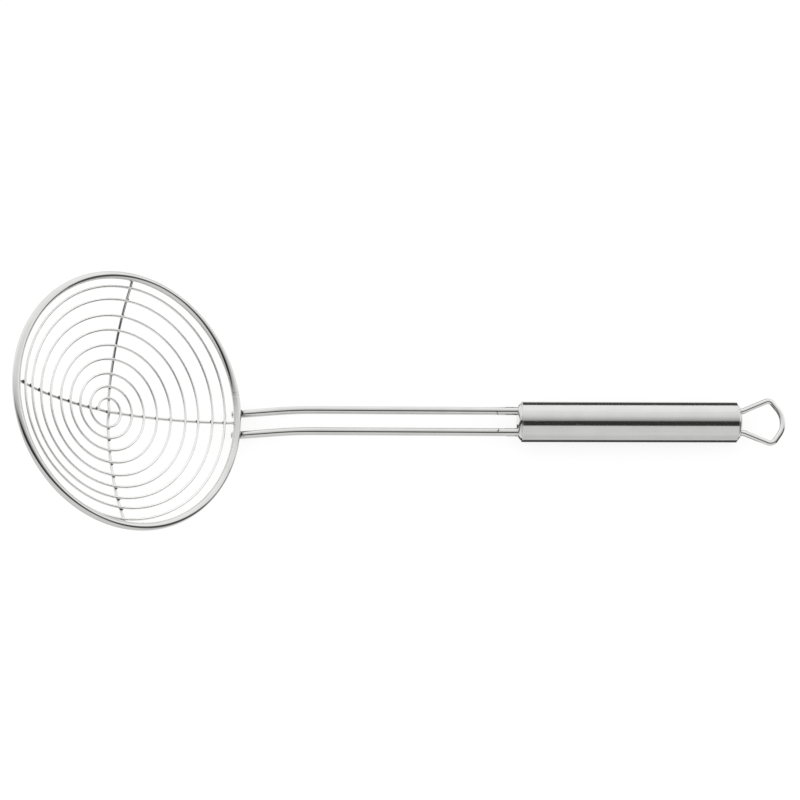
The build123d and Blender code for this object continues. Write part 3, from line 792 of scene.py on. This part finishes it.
e[1].position, e[1].color = at[-1][0], (at[-1][1],) * 3 + (1,)
for pos, v in at[1:-1]:
    k = e.new(pos)
    k.color = (v, v, v, 1)


def shade(fac, under, value):
    n = node("ShaderNodeMix", data_type="RGBA")
    wire_in(n, 0, fac)
    wire_in(n, 6, under)
    wire_in(n, 7, (value, value, value, 1))
    return n.outputs[2]


def window(v, lo, lo_soft, hi, hi_soft):
    return calc("MULTIPLY", remap(v, lo, lo + lo_soft, 0, 1, "SMOOTHSTEP"),
                remap(v, hi - hi_soft, hi, 1, 0, "SMOOTHSTEP"))


# the bowl's end of the tent is further off and dimmer
near_end = calc("MULTIPLY", remap(lean, -72, -44, 0.30, 0, "SMOOTHSTEP"), window(roll, -80, 40, 120, 40))
light = shade(near_end, tent_ramp.outputs[0], 0.0)
# the gap overhead
gap = calc("MULTIPLY", window(roll, 9.0, 5.0, 41.5, 5.0), remap(lean, -58, -40, 0, 1, "SMOOTHSTEP"))
light = shade(gap, light, 0.045 / TENT_MAX)
# the open end, and the dark floor beyond it
open_end = calc("MULTIPLY", remap(lean, 44, 62, 0, 1, "SMOOTHSTEP"), window(roll, -32, 29, 176, 26))
light = shade(open_end, light, 0.10 / TENT_MAX)
beyond = calc("MULTIPLY", remap(lean, 50, 64, 0, 1, "SMOOTHSTEP"),
              remap(calc("ABSOLUTE", roll), 138, 166, 0, 1, "SMOOTHSTEP"))
light = shade(beyond, light, 0.16 / TENT_MAX)
path_kind = node("ShaderNodeLightPath")
tent = node("ShaderNodeBackground")
wire_in(tent, 0, light)
tent.inputs[1].default_value = TENT_MAX
plain = node("ShaderNodeBackground")
plain.inputs[0].default_value = (1.0, 1.0, 1.0, 1)
plain.inputs[1].default_value = 1.0
choose = node("ShaderNodeMixShader")
straight = calc("MAXIMUM", path_kind.outputs["Is Camera Ray"], path_kind.outputs["Is Diffuse Ray"])
t.links.new(straight, choose.inputs[0])
t.links.new(tent.outputs[0], choose.inputs[1])
t.links.new(plain.outputs[0], choose.inputs[2])
world_out = node("ShaderNodeOutputWorld")
t.links.new(choose.outputs[0], world_out.inputs[0])
w.cycles.sampling_method = "NONE"

# dark sheets that only reflections show, painting shade into the tube's reflections: the dark outlines at its edges
# stand in for the shadow on the table under and beside it
for name, y0, y1, soft, left, right in (
        ("card_back", 27.0, 900.0, 8.0, -tube_half - 6.0, tube_half + 41.0),
        ("card_below", -22.0, 14.0, 3.5, -tube_half - 2.5, tube_half + 10.5),
        ("card_front", -14.0, -2.8, 1.2, -tube_half - 7.0, -tube_half - 2.5),
        ("card_middle", -1.6, 1.8, 0.6, -tube_half - 11.5, -tube_half - 2.5),
        ("card_behind", 11.0, 22.0, 2.0, -tube_half - 7.0, -tube_half - 2.5),
        ("card_upright", -5.5, -0.5, 0.6, 0.0, 0.0)):
    me = bpy.data.meshes.new(name)
    x0, x1 = X0 + left, X0 + right
    far = max(0.0, 0.22 * (y1 - 150.0))
    corners = [(x0, y0, -0.01), (x1, y0, -0.01), (x1 + far, y1, -0.01), (x0, y1, -0.01)]
    if name == "card_upright":
        # stands between the rods, facing the front cap, and paints a dark shoulder into the cap's reflection
        x0 = X0 - tube_half - 11.5
        corners = [(x0, y0, 3.0), (x0, y1, 3.0), (x0, y1, 25.0), (x0, y0, 25.0)]
    me.from_pydata([tuple(c * MM for c in p) for p in corners], [], [(0, 1, 2, 3)])
    card = bpy.data.objects.new(name, me)
    scene.collection.objects.link(card)
    card.visible_camera = card.visible_diffuse = card.visible_shadow = card.visible_transmission = False
    m = Nodes(name + "_felt")
    m.t.nodes.remove(m.bsdf)
    place = m.add("ShaderNodeSeparateXYZ", {0: m.add("ShaderNodeNewGeometry").outputs["Position"]}).outputs[1]
    rise = m.add("ShaderNodeMapRange", {"Value": place, "From Min": y0 * MM, "From Max": (y0 + soft) * MM,
                                        "To Min": 0.0, "To Max": 1.0}, interpolation_type="SMOOTHSTEP").outputs[0]
    drop = m.add("ShaderNodeMapRange", {"Value": place, "From Min": (y1 - soft) * MM, "From Max": y1 * MM,
                                        "To Min": 1.0, "To Max": 0.0}, interpolation_type="SMOOTHSTEP").outputs[0]
    # painted shade: a dim glow that reflections show in place of shadow on the table
    painted_shade = m.add("ShaderNodeEmission", {"Color": (1, 1, 1, 1), "Strength": 0.075})
    clear = m.add("ShaderNodeBsdfTransparent")
    pick = m.add("ShaderNodeMixShader", {0: m.math("MULTIPLY", rise, drop), 1: clear.outputs[0], 2: painted_shade.outputs[0]})
    m.t.links.new(pick.outputs[0], m.out.inputs[0])
    me.materials.append(m.mat)

# ---------------------------------------------------------------------------
# camera: the photograph's own angle
# ---------------------------------------------------------------------------
axes = np.array([[0.9999, -0.0016, 0.0129], [-0.0023, 0.9561, 0.2931], [-0.0128, -0.2931, 0.9560]])
shift = np.array([116.046, -11.005])
eye = axes.T @ np.array([-shift[0], -shift[1] + 0.08, 1000.0]) + np.array([X0, 0, Z0])
u, _, v = np.linalg.svd(axes)
axes = u @ v
camera_data = bpy.data.cameras.new("camera")
camera_data.sensor_width = 36.0
camera_data.lens = 36.0 * 1972.5 / 800
camera_data.clip_start, camera_data.clip_end = 0.05, 20.0
camera = bpy.data.objects.new("camera", camera_data)
scene.collection.objects.link(camera)
place = Matrix([[*axes[:, i], eye[i] * MM] for i in range(3)] + [[0, 0, 0, 1]])
camera.matrix_world = place
scene.camera = camera

scene.view_settings.view_transform = "Standard"
scene.view_settings.look = "None"
scene.view_settings.exposure = 0.0
scene.view_settings.gamma = 1.0
